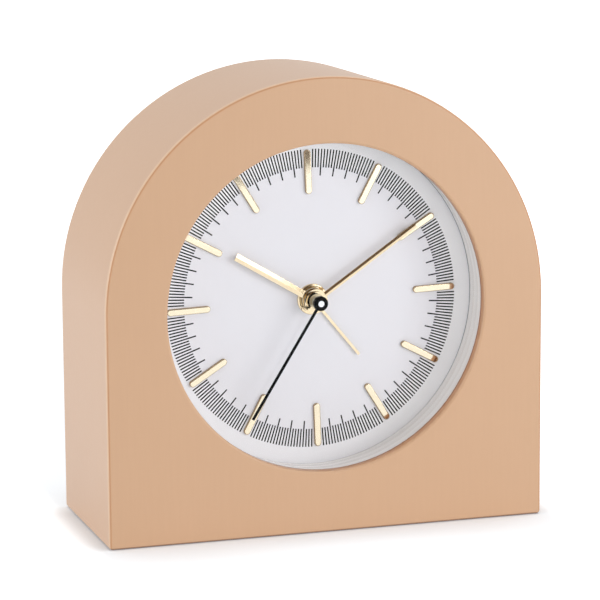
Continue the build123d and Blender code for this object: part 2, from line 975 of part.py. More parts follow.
# The battery and its two contacts
battery_right = inside - contact_thickness
battery_left = -inside + contact_thickness + contact_spring_reach
battery_middle = plate_back + works_depth / 2
with BuildPart() as battery:
    with BuildSketch(side_plane(battery_left, battery_middle, battery_z)):
        Circle(battery_diameter / 2)
    extrude(amount=battery_right - battery_pole_length - battery_left)
    fillet(battery.edges().filter_by(GeomType.CIRCLE), battery_clearance)
    with BuildSketch(side_plane(battery_left, battery_middle, battery_z)):
        Circle(battery_pole_radius)
    extrude(amount=battery_right - battery_left)

contact_low = battery_z - contact_width / 2
tab_back = housing_inside
tab_front = housing_inside - contact_width / 3
with BuildPart() as contact_positive:
    block(
        battery_middle - contact_width / 2,
        tab_back,
        inside - contact_thickness,
        inside,
        contact_low,
        bay_top,
    )
    block(tab_front, tab_back, inside - contact_thickness, inside, bay_top, chamber_bottom)

with BuildPart() as contact_negative:
    block(
        battery_middle - contact_width / 2,
        tab_back,
        -inside,
        -inside + contact_thickness,
        contact_low,
        bay_top,
    )
    block(
        tab_front, tab_back, -inside, -inside + contact_thickness, bay_top, chamber_bottom
    )
    leaf_top = contact_low + contact_width - contact_thickness
    with BuildSketch(front_plane(battery_middle + contact_width / 2, (0, 0))):
        with BuildLine():
            Polyline(
                (-inside, contact_low),
                (-inside + contact_thickness, contact_low),
                (battery_left, battery_z),
                (-inside + contact_thickness, leaf_top),
                (-inside + contact_thickness, leaf_top - contact_thickness),
                (battery_left - contact_thickness, battery_z),
                (-inside, contact_low + contact_thickness),
                close=True,
            )
        make_face()
    extrude(amount=contact_width)

# The battery door, flush in the cup's floor, pulled straight off
door_front = housing_back + door_gap
door_back = cup_floor_back + door_gap
with BuildPart() as battery_door:
    with BuildSketch(front_plane(door_back, (0, (window_low + window_high) / 2))):
        RectangleRounded(
            2 * (window_half_width - door_gap), window_high - window_low - 2 * door_gap, door_rounding
        )
    extrude(amount=door_back - door_front)
    for side in (-1, 1):
        edge = side * (window_half_width - door_gap - door_rounding)
        inner = edge - side * door_latch_thickness
        block(
            door_front - door_latch_length,
            door_front,
            min(edge, inner),
            max(edge, inner),
            window_high - battery_diameter / 4 - door_gap,
            window_high - door_gap - door_rounding,
        )
    with BuildSketch(front_plane(door_back, (0, (window_low + window_high) / 2))):
        with GridLocations(2 * door_rounding, 0, 5, 1):
            Rectangle(door_rounding, battery_diameter / 2)
    extrude(amount=door_grip_depth, mode=Mode.SUBTRACT)

# The alarm switch, a button on a plate that slides inside the rear wall
switch_x = switch_centre[0] - switch_travel / 2
switch_plate_back = housing_inside - switch_gap
with BuildPart() as alarm_switch:
    block(
        switch_plate_back - switch_plate_thickness,
        switch_plate_back,
        switch_x - switch_size / 2 - switch_plate_border,
        switch_x + switch_size / 2 + switch_plate_border,
        switch_centre[1] - switch_size / 2 - switch_plate_border,
        switch_centre[1] + switch_size / 2 + switch_plate_border,
    )
    block(
        switch_plate_back,
        cup_floor_back + switch_proud,
        switch_x - switch_size / 2,
        switch_x + switch_size / 2,
        switch_centre[1] - switch_size / 2,
        switch_centre[1] + switch_size / 2,
    )
    for groove in (-1, 0, 1):
        middle = switch_x + groove * switch_size / 4
        block(
            cup_floor_back + switch_proud - door_grip_depth / 2,
            cup_floor_back + switch_proud,
            middle - switch_size / 16,
            middle + switch_size / 16,
            switch_centre[1] - switch_size / 2,
            switch_centre[1] + switch_size / 2,
            mode=Mode.SUBTRACT,
        )


def knob(place):
    """A fluted setting knob, pressed on its arbor, in the part in hand."""
    with BuildSketch(front_plane(knob_front + knob_length, place)) as profile:
        Circle(knob_radius)
        with PolarLocations(knob_radius, knob_flutes):
            Circle(knob_flute_radius, mode=Mode.SUBTRACT)
    extrude(profile.sketch, amount=knob_length)
    disc(
        knob_front,
        knob_arbor_end,
        knob_arbor_radius + press_gap,
        place=place,
        mode=Mode.SUBTRACT,
    )


with BuildPart() as time_knob:
    knob(motion_axis)
    chamfer(time_knob.faces().sort_by(Axis.Y)[-1].edges(), knob_rounding / 2)

with BuildPart() as alarm_knob:
    knob(alarm_axis)
    chamfer(alarm_knob.faces().sort_by(Axis.Y)[-1].edges(), knob_rounding / 2)


def ridged_blade(height, start, length, width, clockwise):
    """A hand's blade with a ridge along its middle, at a height above the dial."""
    plane = front_plane(dial_front - height, clockwise=clockwise)
    section = Plane(
        origin=plane.from_local_coords((0, start, 0)), x_dir=plane.x_dir, z_dir=plane.y_dir
    )
    with BuildSketch(section) as profile:
        with BuildLine():
            Polyline(
                (-width / 2, 0),
                (width / 2, 0),
                (width / 2, -hand_thickness),
                (0, -hand_thickness - hand_ridge),
                (-width / 2, -hand_thickness),
                close=True,
            )
        make_face()
    extrude(profile.sketch, amount=length - start)


def flat_blade(height, start, length, width, clockwise):
    """A flat hand's blade, at a height above the dial."""
    plane = front_plane(dial_front - height, clockwise=clockwise)
    with BuildSketch(plane) as profile:
        with Locations((0, start)):
            Rectangle(width, length - start, align=(Align.CENTER, Align.MIN))
    extrude(profile.sketch, amount=hand_thickness)


def collar(height, radius, bore, proud_behind, proud_before):
    """The round collar by which a hand sits on its pipe."""
    disc(
        dial_front - height - hand_thickness - proud_before,
        dial_front - height + proud_behind,
        radius,
        bore=bore,
    )


alarm_hub_radius = alarm_pipe_radius + alarm_hub_wall
with BuildPart() as alarm_hand:
    collar(alarm_hand_height, alarm_hub_radius, alarm_pipe_radius + press_gap, 0, 0)
    flat_blade(
        alarm_hand_height,
        alarm_hub_radius - hub_tuck,
        alarm_hand_length,
        alarm_hand_width,
        alarm_hand_clock_angle,
    )

hour_collar_radius = hour_pipe_radius + hour_collar_wall
with BuildPart() as hour_hand:
    collar(
        hour_hand_height, hour_collar_radius, hour_pipe_radius + press_gap, collar_proud, collar_proud
    )
    ridged_blade(
        hour_hand_height,
        hour_collar_radius - hub_tuck,
        hour_hand_length,
        hour_hand_width,
        hour_hand_clock_angle,
    )

minute_hub_radius = minute_pipe_radius + minute_hub_wall
with BuildPart() as minute_hand:
    collar(minute_hand_height, minute_hub_radius, minute_pipe_radius + press_gap, 0, 0)
    collar(
        minute_hand_height,
        minute_pipe_radius + minute_collar_wall,
        minute_pipe_radius + press_gap,
        collar_proud,
        2 * collar_proud,
    )
    ridged_blade(
        minute_hand_height,
        minute_hub_radius - hub_tuck,
        minute_hand_length,
        minute_hand_width,
        minute_hand_clock_angle,
    )

with BuildPart() as second_hand:
    collar(
        second_hand_height,
        second_boss_radius,
        second_pin_radius + press_gap,
        collar_proud,
        second_boss_proud,
    )
    flat_blade(
        second_hand_height,
        second_boss_radius - hub_tuck,
        second_hand_length,
        second_hand_width,
        second_hand_clock_angle,
    )

# The bright pin in the second hand's boss, pressed on the arbor
with BuildPart() as second_hand_pin:
    disc(
        second_boss_front,
        dial_front - second_hand_height + collar_proud,
        second_pin_radius,
        bore=second_arbor_radius + press_gap,
    )
    disc(second_pin_front, second_boss_front, second_pin_radius)

pieces = {
    "case_body": case_body,
    "front_lens": front_lens,
    "spacer_ring": spacer_ring,
    "dial_plate": dial_plate,
    **{f"hour_marker_{hour:02d}": marker for hour, marker in enumerate(markers, 1)},
    "back_cup": back_cup,
    "cover_screws": cover_screws,
    "movement_front_plate": movement_front_plate,
    "train_bridge": train_bridge,
    "movement_rear_housing": movement_rear_housing,
    "movement_screws": movement_screws,
    "stator": stator,
    "coil_core": coil_core,
    "coil_bobbin": coil_bobbin,
    "coil_winding": coil_winding,
    "rotor_pinion": rotor_pinion,
    "rotor_magnet": rotor_magnet,
    "intermediate_wheel": intermediate_wheel,
    "second_wheel": second_wheel,
    "third_wheel": third_wheel,
    "centre_wheel": centre_wheel,
    "cannon_pinion": cannon_pinion,
    "motion_wheel": motion_wheel,
    "hour_wheel": hour_wheel,
    "alarm_wheel": alarm_wheel,
    "alarm_setting_pinion": alarm_setting_pinion,
    "alarm_contact_spring": alarm_contact_spring,
    "circuit_board": circuit_board,
    "driver_chip": driver_chip,
    "quartz_crystal": quartz_crystal,
    "buzzer": buzzer,
    "battery": battery,
    "contact_positive": contact_positive,
    "contact_negative": contact_negative,
    "battery_door": battery_door,
    "alarm_switch": alarm_switch,
    "time_knob": time_knob,
    "alarm_knob": alarm_knob,
    "alarm_hand": alarm_hand,
    "hour_hand": hour_hand,
    "minute_hand": minute_hand,
    "second_hand": second_hand,
    "second_hand_pin": second_hand_pin,
}
for name, piece in pieces.items():
    piece.part.label = name
    export_step(piece.part, f"parts/{name}.step")
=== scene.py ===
# %% [markdown]
# # An arch-topped table clock
# The imported model already has every real part of this clock in its real place, in metres. This
# script dresses it: paint, glass, gold, black enamel and moulded plastic, with the printed minute
# track and a few small pieces that are too fine for the CAD model. The clock stands on Z = 0 and
# its face looks along -Y. We load the model first. The finished clock must not grow past it.

# %% Load the imported clock
import json
from math import cos, pi, radians, sin

import bmesh
import bpy
from mathutils import Matrix, Vector

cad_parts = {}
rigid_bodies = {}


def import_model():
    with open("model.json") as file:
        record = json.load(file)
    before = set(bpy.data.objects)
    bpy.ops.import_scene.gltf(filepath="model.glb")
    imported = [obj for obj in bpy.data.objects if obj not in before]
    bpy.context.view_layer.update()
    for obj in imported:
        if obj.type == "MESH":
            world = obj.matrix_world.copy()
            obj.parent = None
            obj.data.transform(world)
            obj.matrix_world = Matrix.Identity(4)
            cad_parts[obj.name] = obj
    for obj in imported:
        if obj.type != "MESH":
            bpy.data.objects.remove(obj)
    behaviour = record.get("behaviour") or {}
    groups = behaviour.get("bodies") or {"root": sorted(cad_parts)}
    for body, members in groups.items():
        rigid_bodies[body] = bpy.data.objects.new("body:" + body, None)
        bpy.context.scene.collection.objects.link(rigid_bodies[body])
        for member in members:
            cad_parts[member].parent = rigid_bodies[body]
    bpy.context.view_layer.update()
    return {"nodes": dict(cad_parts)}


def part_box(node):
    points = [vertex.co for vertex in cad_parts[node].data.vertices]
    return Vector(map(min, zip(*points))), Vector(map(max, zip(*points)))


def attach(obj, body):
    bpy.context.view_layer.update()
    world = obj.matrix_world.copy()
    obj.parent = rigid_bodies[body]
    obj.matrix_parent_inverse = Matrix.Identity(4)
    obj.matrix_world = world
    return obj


for left_over in list(bpy.data.objects):
    bpy.data.objects.remove(left_over)
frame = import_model()
nodes = frame["nodes"]

# %% [markdown]
# Sizes are easier to think about in millimetres, and places on a clock face as a radius and a
# clock angle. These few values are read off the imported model, so that what we add sits on it.

# %% Sizes that the rest of the script leans on
MM = 0.001
dial_low, dial_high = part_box("dial_plate")
dial_y = dial_low.y
axis_x = 0.0
axis_z = (dial_low.z + dial_high.z) / 2
case_low, case_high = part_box("case_body")
case_width = case_high.x - case_low.x
front_y = case_low.y
arch_radius = case_width / 2
arch_centre_z = case_high.z - arch_radius
opening_radius = 43.5 * MM
opening_centre_z = axis_z - 0.25 * MM


def on_dial(radius, clock_angle, y):
    """The point at this radius from the hands' axis and at this clock angle."""
    turn = radians(clock_angle)
    return Vector((axis_x + radius * sin(turn), y, axis_z + radius * cos(turn)))


print("dial at y =", round(dial_y / MM, 2), "mm, hands' axis at z =", round(axis_z / MM, 2), "mm")


# %% [markdown]
# Colours are given as screen values from 0 to 255, but shaders work with light, which is
# linear. One helper converts them.

# %% Screen colours to light
def shade(red, green, blue):
    """A screen colour, 0 to 255, as the linear colour that a shader takes."""
    light = []
    for channel in (red, green, blue):
        c = channel / 255
        light.append(c / 12.92 if c <= 0.04045 else ((c + 0.055) / 1.055) ** 2.4)
    return (*light, 1.0)


print("mid grey on screen is", round(shade(128, 128, 128)[0], 3), "in light")


# %% [markdown]
# No real surface has one flat colour and one flat gloss. Every finish here starts the same way: a
# wide, slow noise drifts the colour between two close tones, and a fine noise moves the roughness
# a little and raises a tiny bump. All of it reads Object coordinates, and as every piece sits at
# the origin, those are the clock's own metres, so a pattern keeps its real scale.

# %% The common start of every finish
def finish(
    name, tones, patch_mm, rough, grain_mm, depth_mm, metallic=0.0, coat=0.0, coat_rough=0.1
):
    """A material that drifts between two tones, with a fine grain in its gloss and surface."""
    material = bpy.data.materials.new(name)
    material.use_nodes = True
    tree = material.node_tree
    make, join = tree.nodes.new, tree.links.new
    shader = tree.nodes["Principled BSDF"]
    shader.inputs["Metallic"].default_value = metallic
    shader.inputs["Coat Weight"].default_value = coat
    shader.inputs["Coat Roughness"].default_value = coat_rough
    place = make("ShaderNodeTexCoord")
    place.name = "place"

    drift = make("ShaderNodeTexNoise")
    drift.inputs["Scale"].default_value = 1 / (patch_mm * MM)
    drift.inputs["Detail"].default_value = 3
    join(place.outputs["Object"], drift.inputs["Vector"])
    tone = make("ShaderNodeMix")
    tone.name = "tone"
    tone.data_type = "RGBA"
    tone.inputs["A"].default_value = shade(*tones[0])
    tone.inputs["B"].default_value = shade(*tones[1])
    join(drift.outputs["Fac"], tone.inputs["Factor"])
    join(tone.outputs["Result"], shader.inputs["Base Color"])

    grain = make("ShaderNodeTexNoise")
    grain.name = "grain"
    grain.inputs["Scale"].default_value = 1 / (grain_mm * MM)
    grain.inputs["Detail"].default_value = 2
    join(place.outputs["Object"], grain.inputs["Vector"])
    gloss = make("ShaderNodeMapRange")
    gloss.inputs["To Min"].default_value = rough[0]
    gloss.inputs["To Max"].default_value = rough[1]
    join(grain.outputs["Fac"], gloss.inputs["Value"])
    join(gloss.outputs["Result"], shader.inputs["Roughness"])
    bump = make("ShaderNodeBump")
    bump.name = "bump"
    bump.inputs["Distance"].default_value = depth_mm * MM
    join(grain.outputs["Fac"], bump.inputs["Height"])
    join(bump.outputs["Normal"], shader.inputs["Normal"])
    return material


def maths(tree, operation, first, second=None):
    """A Math node that takes sockets or numbers, and its result."""
    node = tree.nodes.new("ShaderNodeMath")
    node.operation = operation
    for socket, value in zip(node.inputs, (first, second)):
        if isinstance(value, bpy.types.NodeSocket):
            tree.links.new(value, socket)
        elif value is not None:
            socket.default_value = value
    return node.outputs["Value"]


def ramp(tree, value, start, end):
    """A smooth 0 to 1 as a value goes from start to end."""
    node = tree.nodes.new("ShaderNodeMapRange")
    node.interpolation_type = "SMOOTHSTEP"
    node.inputs["From Min"].default_value = start
    node.inputs["From Max"].default_value = end
    tree.links.new(value, node.inputs["Value"])
    return node.outputs["Result"]


def place_axes(tree):
    """The X, Y and Z of a point, as sockets, in the clock's own metres."""
    parts = tree.nodes.new("ShaderNodeSeparateXYZ")
    tree.links.new(tree.nodes["place"].outputs["Object"], parts.inputs["Vector"])
    return parts.outputs


print("helpers for finishes are ready")


# %% [markdown]
# The body is wood under a satin peach lacquer. Sprayed lacquer has a faint orange-peel surface.
# We measure how far a point is from the arch's own axis line (the part below the arch counts only
# sideways), and where that is nearly the full radius and the point is also right at the front, it
# is on the edge, which gets a browner painted shade line. Just behind it, on the rounding, a paler
# colour is a painted highlight. The same test at the opening's radius gives the inner wall, which
# painted shade darkens toward the glass. A darker painted contact shadow runs along the foot where
# it meets the table, and the wood's upright fibre shows faintly through the lacquer.

# %% Body lacquer
def distance_from(tree, centre_z, straight_below):
    """How far a point is from a line along Y at this height, sideways only below it if asked."""
    point = place_axes(tree)
    rise = maths(tree, "SUBTRACT", point["Z"], centre_z)
    if straight_below:
        rise = maths(tree, "MAXIMUM", rise, 0.0)
    across = maths(tree, "MULTIPLY", point["X"], point["X"])
    up = maths(tree, "MULTIPLY", rise, rise)
    return maths(tree, "SQRT", maths(tree, "ADD", across, up)), point["Y"]


def tint(material, mask, colour):
    """Lays a colour over the tones of a finish where a mask is 1."""
    tree = material.node_tree
    over = tree.nodes.new("ShaderNodeMix")
    over.data_type = "RGBA"
    over.inputs["B"].default_value = shade(*colour)
    base = tree.nodes["Principled BSDF"].inputs["Base Color"]
    tree.links.new(base.links[0].from_socket, over.inputs["A"])
    tree.links.new(mask, over.inputs["Factor"])
    tree.links.new(over.outputs["Result"], base)


# Painted highlight and painted shade for edge, wall and foot; the fibre's brown is the wood's own.
painted_edge_highlight, painted_edge_shade, foot_painted_shadow = (228, 193, 160), (192, 137, 95), (136, 96, 68)
wall_painted_shade, glass_side_painted_shade, fibre_brown = (206, 148, 102), (160, 100, 58), (204, 160, 126)
fibre_width, fibre_stretch, fibre_share = 0.8 * MM, 0.06, 0.12
lacquer = finish(
    "peach_lacquer", ((212, 170, 134), (209, 167, 130)), 30, (0.40, 0.50), 0.9, 0.012,
    coat=0.36, coat_rough=0.30,
)
tree = lacquer.node_tree
outer, depth = distance_from(tree, arch_centre_z, True)
# Painted highlight on the rounding just behind the front edge.
behind_front = ramp(tree, depth, front_y + 1.2 * MM, front_y + 0.8 * MM)
on_round = ramp(tree, outer, arch_radius - 0.4 * MM, arch_radius - 0.2 * MM)
tint(lacquer, maths(tree, "MULTIPLY", behind_front, on_round), painted_edge_highlight)
# Painted shade line along the front edge.
at_front = ramp(tree, depth, front_y + 0.35 * MM, front_y + 0.1 * MM)
at_rim = ramp(tree, outer, arch_radius - 0.75 * MM, arch_radius - 0.4 * MM)
tint(lacquer, maths(tree, "MULTIPLY", at_front, at_rim), painted_edge_shade)
# Painted shade on the opening's inner wall, deeper toward the glass.
inner, depth = distance_from(tree, opening_centre_z, False)
in_opening = ramp(tree, inner, opening_radius + 0.5 * MM, opening_radius + 0.2 * MM)
on_wall = ramp(tree, depth, front_y + 0.35 * MM, front_y + 0.8 * MM)
tint(lacquer, maths(tree, "MULTIPLY", on_wall, in_opening), wall_painted_shade)
by_glass = ramp(tree, depth, front_y + 1.7 * MM, front_y + 2.5 * MM)
tint(lacquer, maths(tree, "MULTIPLY", by_glass, in_opening), glass_side_painted_shade)
# Painted contact shadow along the foot, where it meets the table.
at_floor = ramp(tree, place_axes(tree)["Z"], 0.55 * MM, 0.3 * MM)
tint(lacquer, at_floor, foot_painted_shadow)
upright = tree.nodes.new("ShaderNodeMapping")
upright.inputs["Scale"].default_value = (1.0, 1.0, fibre_stretch)
tree.links.new(tree.nodes["place"].outputs["Object"], upright.inputs["Vector"])
fibre = tree.nodes.new("ShaderNodeTexNoise")
fibre.inputs["Scale"].default_value = 1 / fibre_width
fibre.inputs["Detail"].default_value = 3
tree.links.new(upright.outputs["Vector"], fibre.inputs["Vector"])
in_fibre = ramp(tree, fibre.outputs["Fac"], 0.35, 0.65)
tint(lacquer, maths(tree, "MULTIPLY", in_fibre, fibre_share), fibre_brown)
print("lacquer is ready, edges tinted at", round(arch_radius / MM, 1), "mm")

# %% [markdown]
# The glass is a flat pane. Light has to reach the dial through it, and a renderer that bends every
# ray would leave the dial noisy and dark. So rays from lamps and rays of soft light pass straight
# through a Transparent shader, and only what the camera and reflections see is real glass.

# %% Front glass
glass = bpy.data.materials.new("clear_pane")
glass.use_nodes = True
tree = glass.node_tree
pane = tree.nodes["Principled BSDF"]
pane.inputs["Base Color"].default_value = (1, 1, 1, 1)
pane.inputs["Transmission Weight"].default_value = 1.0
pane.inputs["IOR"].default_value = 1.5
pane.inputs["Specular Tint"].default_value = (0.04, 0.04, 0.045, 1)
place = tree.nodes.new("ShaderNodeTexCoord")
polish = tree.nodes.new("ShaderNodeTexNoise")
polish.inputs["Scale"].default_value = 1 / (12 * MM)
tree.links.new(place.outputs["Object"], polish.inputs["Vector"])
haze = tree.nodes.new("ShaderNodeMapRange")
haze.inputs["To Min"].default_value = 0.0
haze.inputs["To Max"].default_value = 0.012
tree.links.new(polish.outputs["Fac"], haze.inputs["Value"])
tree.links.new(haze.outputs["Result"], pane.inputs["Roughness"])
rays = tree.nodes.new("ShaderNodeLightPath")
shown = pane.outputs["BSDF"]
for kind in ("Is Shadow Ray", "Is Diffuse Ray"):
    clear = tree.nodes.new("ShaderNodeBsdfTransparent")
    choose = tree.nodes.new("ShaderNodeMixShader")
    tree.links.new(rays.outputs[kind], choose.inputs["Fac"])
    tree.links.new(shown, choose.inputs[1])
    tree.links.new(clear.outputs["BSDF"], choose.inputs[2])
    shown = choose.outputs["Shader"]
tree.links.new(shown, tree.nodes["Material Output"].inputs["Surface"])
print("glass is ready, index", pane.inputs["IOR"].default_value)

# %% [markdown]
# Behind the glass, a glossy white ring holds the dial back. It was turned or moulded with faint
# rings along its depth, which break its reflections into thin streaks. A Wave texture across Y
# gives those rings as a bump, warped a little so that they don't look ruled, and lays beige painted
# reflection streaks in them. The dial is cool white, and painted light makes it whiter under the
# printed track and outside it, most of all toward its upper right.

# %% White ring and dial
ring_white = finish(
    "white_ring", ((253, 250, 247), (250, 247, 243)), 14, (0.08, 0.16), 1.5, 0.01,
    coat=0.3, coat_rough=0.05,
)
tree = ring_white.node_tree
rings = tree.nodes.new("ShaderNodeTexWave")
rings.bands_direction = "Y"
rings.inputs["Scale"].default_value = 1 / (9 * MM)
rings.inputs["Distortion"].default_value = 1.2
rings.inputs["Detail"].default_value = 2
tree.links.new(tree.nodes["place"].outputs["Object"], rings.inputs["Vector"])
turned = tree.nodes.new("ShaderNodeBump")
turned.inputs["Distance"].default_value = 0.05 * MM
tree.links.new(rings.outputs["Fac"], turned.inputs["Height"])
tree.links.new(tree.nodes["bump"].outputs["Normal"], turned.inputs["Normal"])
tree.links.new(turned.outputs["Normal"], tree.nodes["Principled BSDF"].inputs["Normal"])
# Beige painted reflection streaks that follow the turned rings.
painted_streak_share, painted_streak_beige = 0.3, (232, 224, 217)
in_painted_streak = ramp(tree, rings.outputs["Fac"], 0.55, 0.95)
tint(ring_white, maths(tree, "MULTIPLY", in_painted_streak, painted_streak_share), painted_streak_beige)


def toward_upper_right(tree):
    """How far a point lies right of and above the hands' axis, both distances added."""
    point = place_axes(tree)
    return maths(tree, "ADD", point["X"], maths(tree, "SUBTRACT", point["Z"], axis_z))


# Painted light on the dial's margin, strongest toward the upper right.
painted_light_least, margin_painted_light = 0.35, (253, 253, 255)
dial_white = finish("dial_white", ((238, 237, 242), (236, 235, 240)), 25, (0.45, 0.55), 0.3, 0.002)
tree = dial_white.node_tree
outward, _ = distance_from(tree, axis_z, False)
sideways = ramp(tree, toward_upper_right(tree), -45 * MM, 5 * MM)
painted_light_share = maths(tree, "MULTIPLY", sideways, 1 - painted_light_least)
painted_light_share = maths(tree, "ADD", painted_light_share, painted_light_least)
margin = maths(tree, "MULTIPLY", ramp(tree, outward, 35.3 * MM, 36.5 * MM), painted_light_share)
tint(dial_white, margin, margin_painted_light)
track_black = finish("printed_black", ((5, 5, 5), (9, 9, 10)), 4, (0.50, 0.60), 0.2, 0.002)
track_black.node_tree.nodes["Principled BSDF"].inputs["Specular IOR Level"].default_value = 0.05
print("ring, dial and print finishes are ready")

# %% [markdown]
# The batons and three of the hands are gold-plated and polished. Plating is metal all the way for
# light, so Metallic is 1 and the colour lives in the reflection. The batons are a little paler.
# The second hand is black enamel, and so is its boss.

# %% Gold, enamel and bright metal
baton_gold = finish(
    "baton_gold", ((238, 225, 198), (231, 216, 187)), 3, (0.04, 0.08), 0.15, 0.001, metallic=1.0
)
hand_gold = finish(
    "hand_gold", ((238, 220, 186), (229, 207, 170)), 3, (0.08, 0.14), 0.15, 0.001, metallic=1.0
)
enamel = finish("black_enamel", ((5, 5, 5), (9, 9, 9)), 3, (0.30, 0.42), 0.2, 0.003)
enamel.node_tree.nodes["Principled BSDF"].inputs["Specular IOR Level"].default_value = 0.08
bright = finish(
    "bright_tip", ((232, 232, 232), (214, 214, 216)), 1, (0.12, 0.2), 0.1, 0.002, metallic=1.0
)
steel = finish(
    "bright_steel", ((196, 197, 199), (178, 180, 183)), 3, (0.22, 0.34), 0.3, 0.004, metallic=1.0
)
brass = finish(
    "turned_brass", ((244, 230, 200), (236, 219, 184)), 2, (0.26, 0.36), 0.12, 0.003, metallic=1.0
)
copper = finish(
    "copper_wire", ((190, 104, 62), (160, 82, 48)), 1, (0.25, 0.4), 0.2, 0.02, metallic=1.0
)
print("metal finishes are ready")

# %% [markdown]
# A baton is stamped from thin sheet, and painted shade browns it where the edge rolls over. Every
# baton lies along its own hour, so one test serves all twelve: turn the point to the nearest hour,
# and measure how far it is from the baton's middle line, round the ends too.

# %% Painted shade on the batons' rims
print_turn = -1.84
hour_step = radians(30)
baton_middle, baton_straight, baton_half_width = 34.2 * MM, 5.0 * MM, 0.9 * MM
rim_start, rim_full, rim_painted_shade = 0.74, 0.97, (178, 152, 116)
tree = baton_gold.node_tree
point = place_axes(tree)
rise = maths(tree, "SUBTRACT", point["Z"], axis_z)
radius, _ = distance_from(tree, axis_z, False)
clock_turn = maths(tree, "ARCTAN2", point["X"], rise)
hours = maths(tree, "DIVIDE", maths(tree, "SUBTRACT", clock_turn, radians(print_turn)), hour_step)
past = maths(tree, "SUBTRACT", hours, maths(tree, "ROUND", hours))
past = maths(tree, "MULTIPLY", past, hour_step)
aside = maths(tree, "MULTIPLY", radius, maths(tree, "SINE", past))
along = maths(tree, "MULTIPLY", radius, maths(tree, "COSINE", past))
along = maths(tree, "SUBTRACT", along, baton_middle)
beyond = maths(tree, "SUBTRACT", maths(tree, "ABSOLUTE", along), baton_straight)
beyond = maths(tree, "MAXIMUM", beyond, 0.0)
aside = maths(tree, "MULTIPLY", aside, aside)
beyond = maths(tree, "MULTIPLY", beyond, beyond)
from_line = maths(tree, "SQRT", maths(tree, "ADD", aside, beyond))
# Painted shade where the baton's edge rolls over.
rim = ramp(tree, from_line, rim_start * baton_half_width, rim_full * baton_half_width)
tint(baton_gold, rim, rim_painted_shade)
print("baton rims are tinted beyond", round(rim_start * baton_half_width / MM, 2), "mm")

# %% [markdown]
# The back cup, the knobs, the battery door and the switch are moulded plastic. The mould was
# spark-eroded, which leaves an even fine grain, deeper on the cup than on the parts that fingers
# turn. The hidden works have their own plain plastics.

# %% Moulded plastics and the works
cup_black = finish("cup_black", ((30, 30, 31), (38, 38, 39)), 18, (0.42, 0.60), 0.28, 0.03)
control_black = finish("control_black", ((24, 24, 25), (30, 30, 31)), 9, (0.32, 0.46), 0.22, 0.012)
works_grey = finish("works_plastic", ((90, 90, 93), (80, 80, 84)), 12, (0.38, 0.5), 0.4, 0.01)
gear_white = finish("gear_plastic", ((226, 222, 208), (214, 209, 194)), 5, (0.3, 0.42), 0.25, 0.006)
board_green = finish("board_green", ((28, 84, 52), (22, 70, 44)), 3, (0.3, 0.45), 0.3, 0.01)
chip_black = finish("chip_black", ((22, 22, 23), (30, 29, 30)), 2, (0.45, 0.6), 0.12, 0.006)
sleeve = finish("battery_sleeve", ((52, 68, 92), (46, 60, 84)), 6, (0.22, 0.32), 0.4, 0.004)
print("plastic finishes are ready")

# %% [markdown]
# Each CAD node came in with a material slot named in the record. We only swap what is in the slot,
# and never touch a CAD mesh.

# %% Dress the CAD nodes
dressing = {
    "body_paint": lacquer,
    "clear_glass": glass,
    "white_wall": ring_white,
    "dial_face": dial_white,
    "gold_baton": baton_gold,
    "gold_hand": hand_gold,
    "black_hand": enamel,
    "bright_pin": bright,
    "black_moulding": cup_black,
    "control_moulding": control_black,
    "movement_moulding": works_grey,
    "gear_moulding": gear_white,
    "turned_brass": brass,
    "bright_steel": steel,
    "copper_wire": copper,
    "board_green": board_green,
    "chip_black": chip_black,
    "battery_sleeve": sleeve,
}
for node in nodes.values():
    for slot in node.material_slots:
        slot.material = dressing[slot.material.name.split(".")[0]]
print("dressed", len(nodes), "CAD nodes in", len(dressing), "finishes")


# %% [markdown]
# Everything that we add ends in the same few steps: the bmesh becomes a mesh, faces that meet at a
# gentle angle are shaded smooth, and the object rides on the CAD body that really carries it.

# %% From a bmesh to a piece on a body
smooth_below = radians(35)


def keep(name, built, body, material):
    """Turns a bmesh into a finished piece that rides on a CAD body."""
    mesh = bpy.data.meshes.new(name)
    bmesh.ops.recalc_face_normals(built, faces=built.faces)
    built.to_mesh(mesh)
    built.free()
    mesh.shade_smooth()
    mesh.set_sharp_from_angle(angle=smooth_below)
    mesh.materials.append(material)
    piece = bpy.data.objects.new(name, mesh)
    bpy.context.scene.collection.objects.link(piece)
    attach(piece, body)
    print(name, "has", len(mesh.polygons), "faces and rides on", body)
    return piece


# %% [markdown]
# The minute track is a ring of fine printed lines. Each hour has 25 divisions, and lines stand on
# the 2nd to the 23rd, so that the batons stay free. Every fifth line is longer. Ink has almost no
# thickness, but real geometry stays crisp at any zoom, so each line is one thin block.

# %% Printed minute track
track_outer, line_inner, long_inner = 40.2 * MM, 35.3 * MM, 33.1 * MM
line_width = 0.35 * MM
ink = 0.02 * MM
divisions = 25
track = bmesh.new()
for hour in range(12):
    for step in range(2, divisions - 1):
        inner_end = long_inner if step % 5 == 0 else line_inner
        length = track_outer - inner_end
        angle = 30 * (hour + step / divisions) + print_turn
        middle = on_dial(inner_end + length / 2, angle, dial_y)
        size = Matrix.Diagonal((line_width, 2 * ink, length, 1))
        turn = Matrix.Rotation(radians(angle), 4, "Y")
        bmesh.ops.create_cube(track, size=1, matrix=Matrix.Translation(middle) @ turn @ size)
keep("minute_track", track, "clock_case", track_black)


# %% [markdown]
# The hole in the dial is finished with a small gold eyelet, which also covers the bush that the
# pipes of the hands come through. It is domed, so it catches a dark line among its highlights. An
# eyelet is a profile swept round an axis: we lay out its section as a few vertices and spin it.

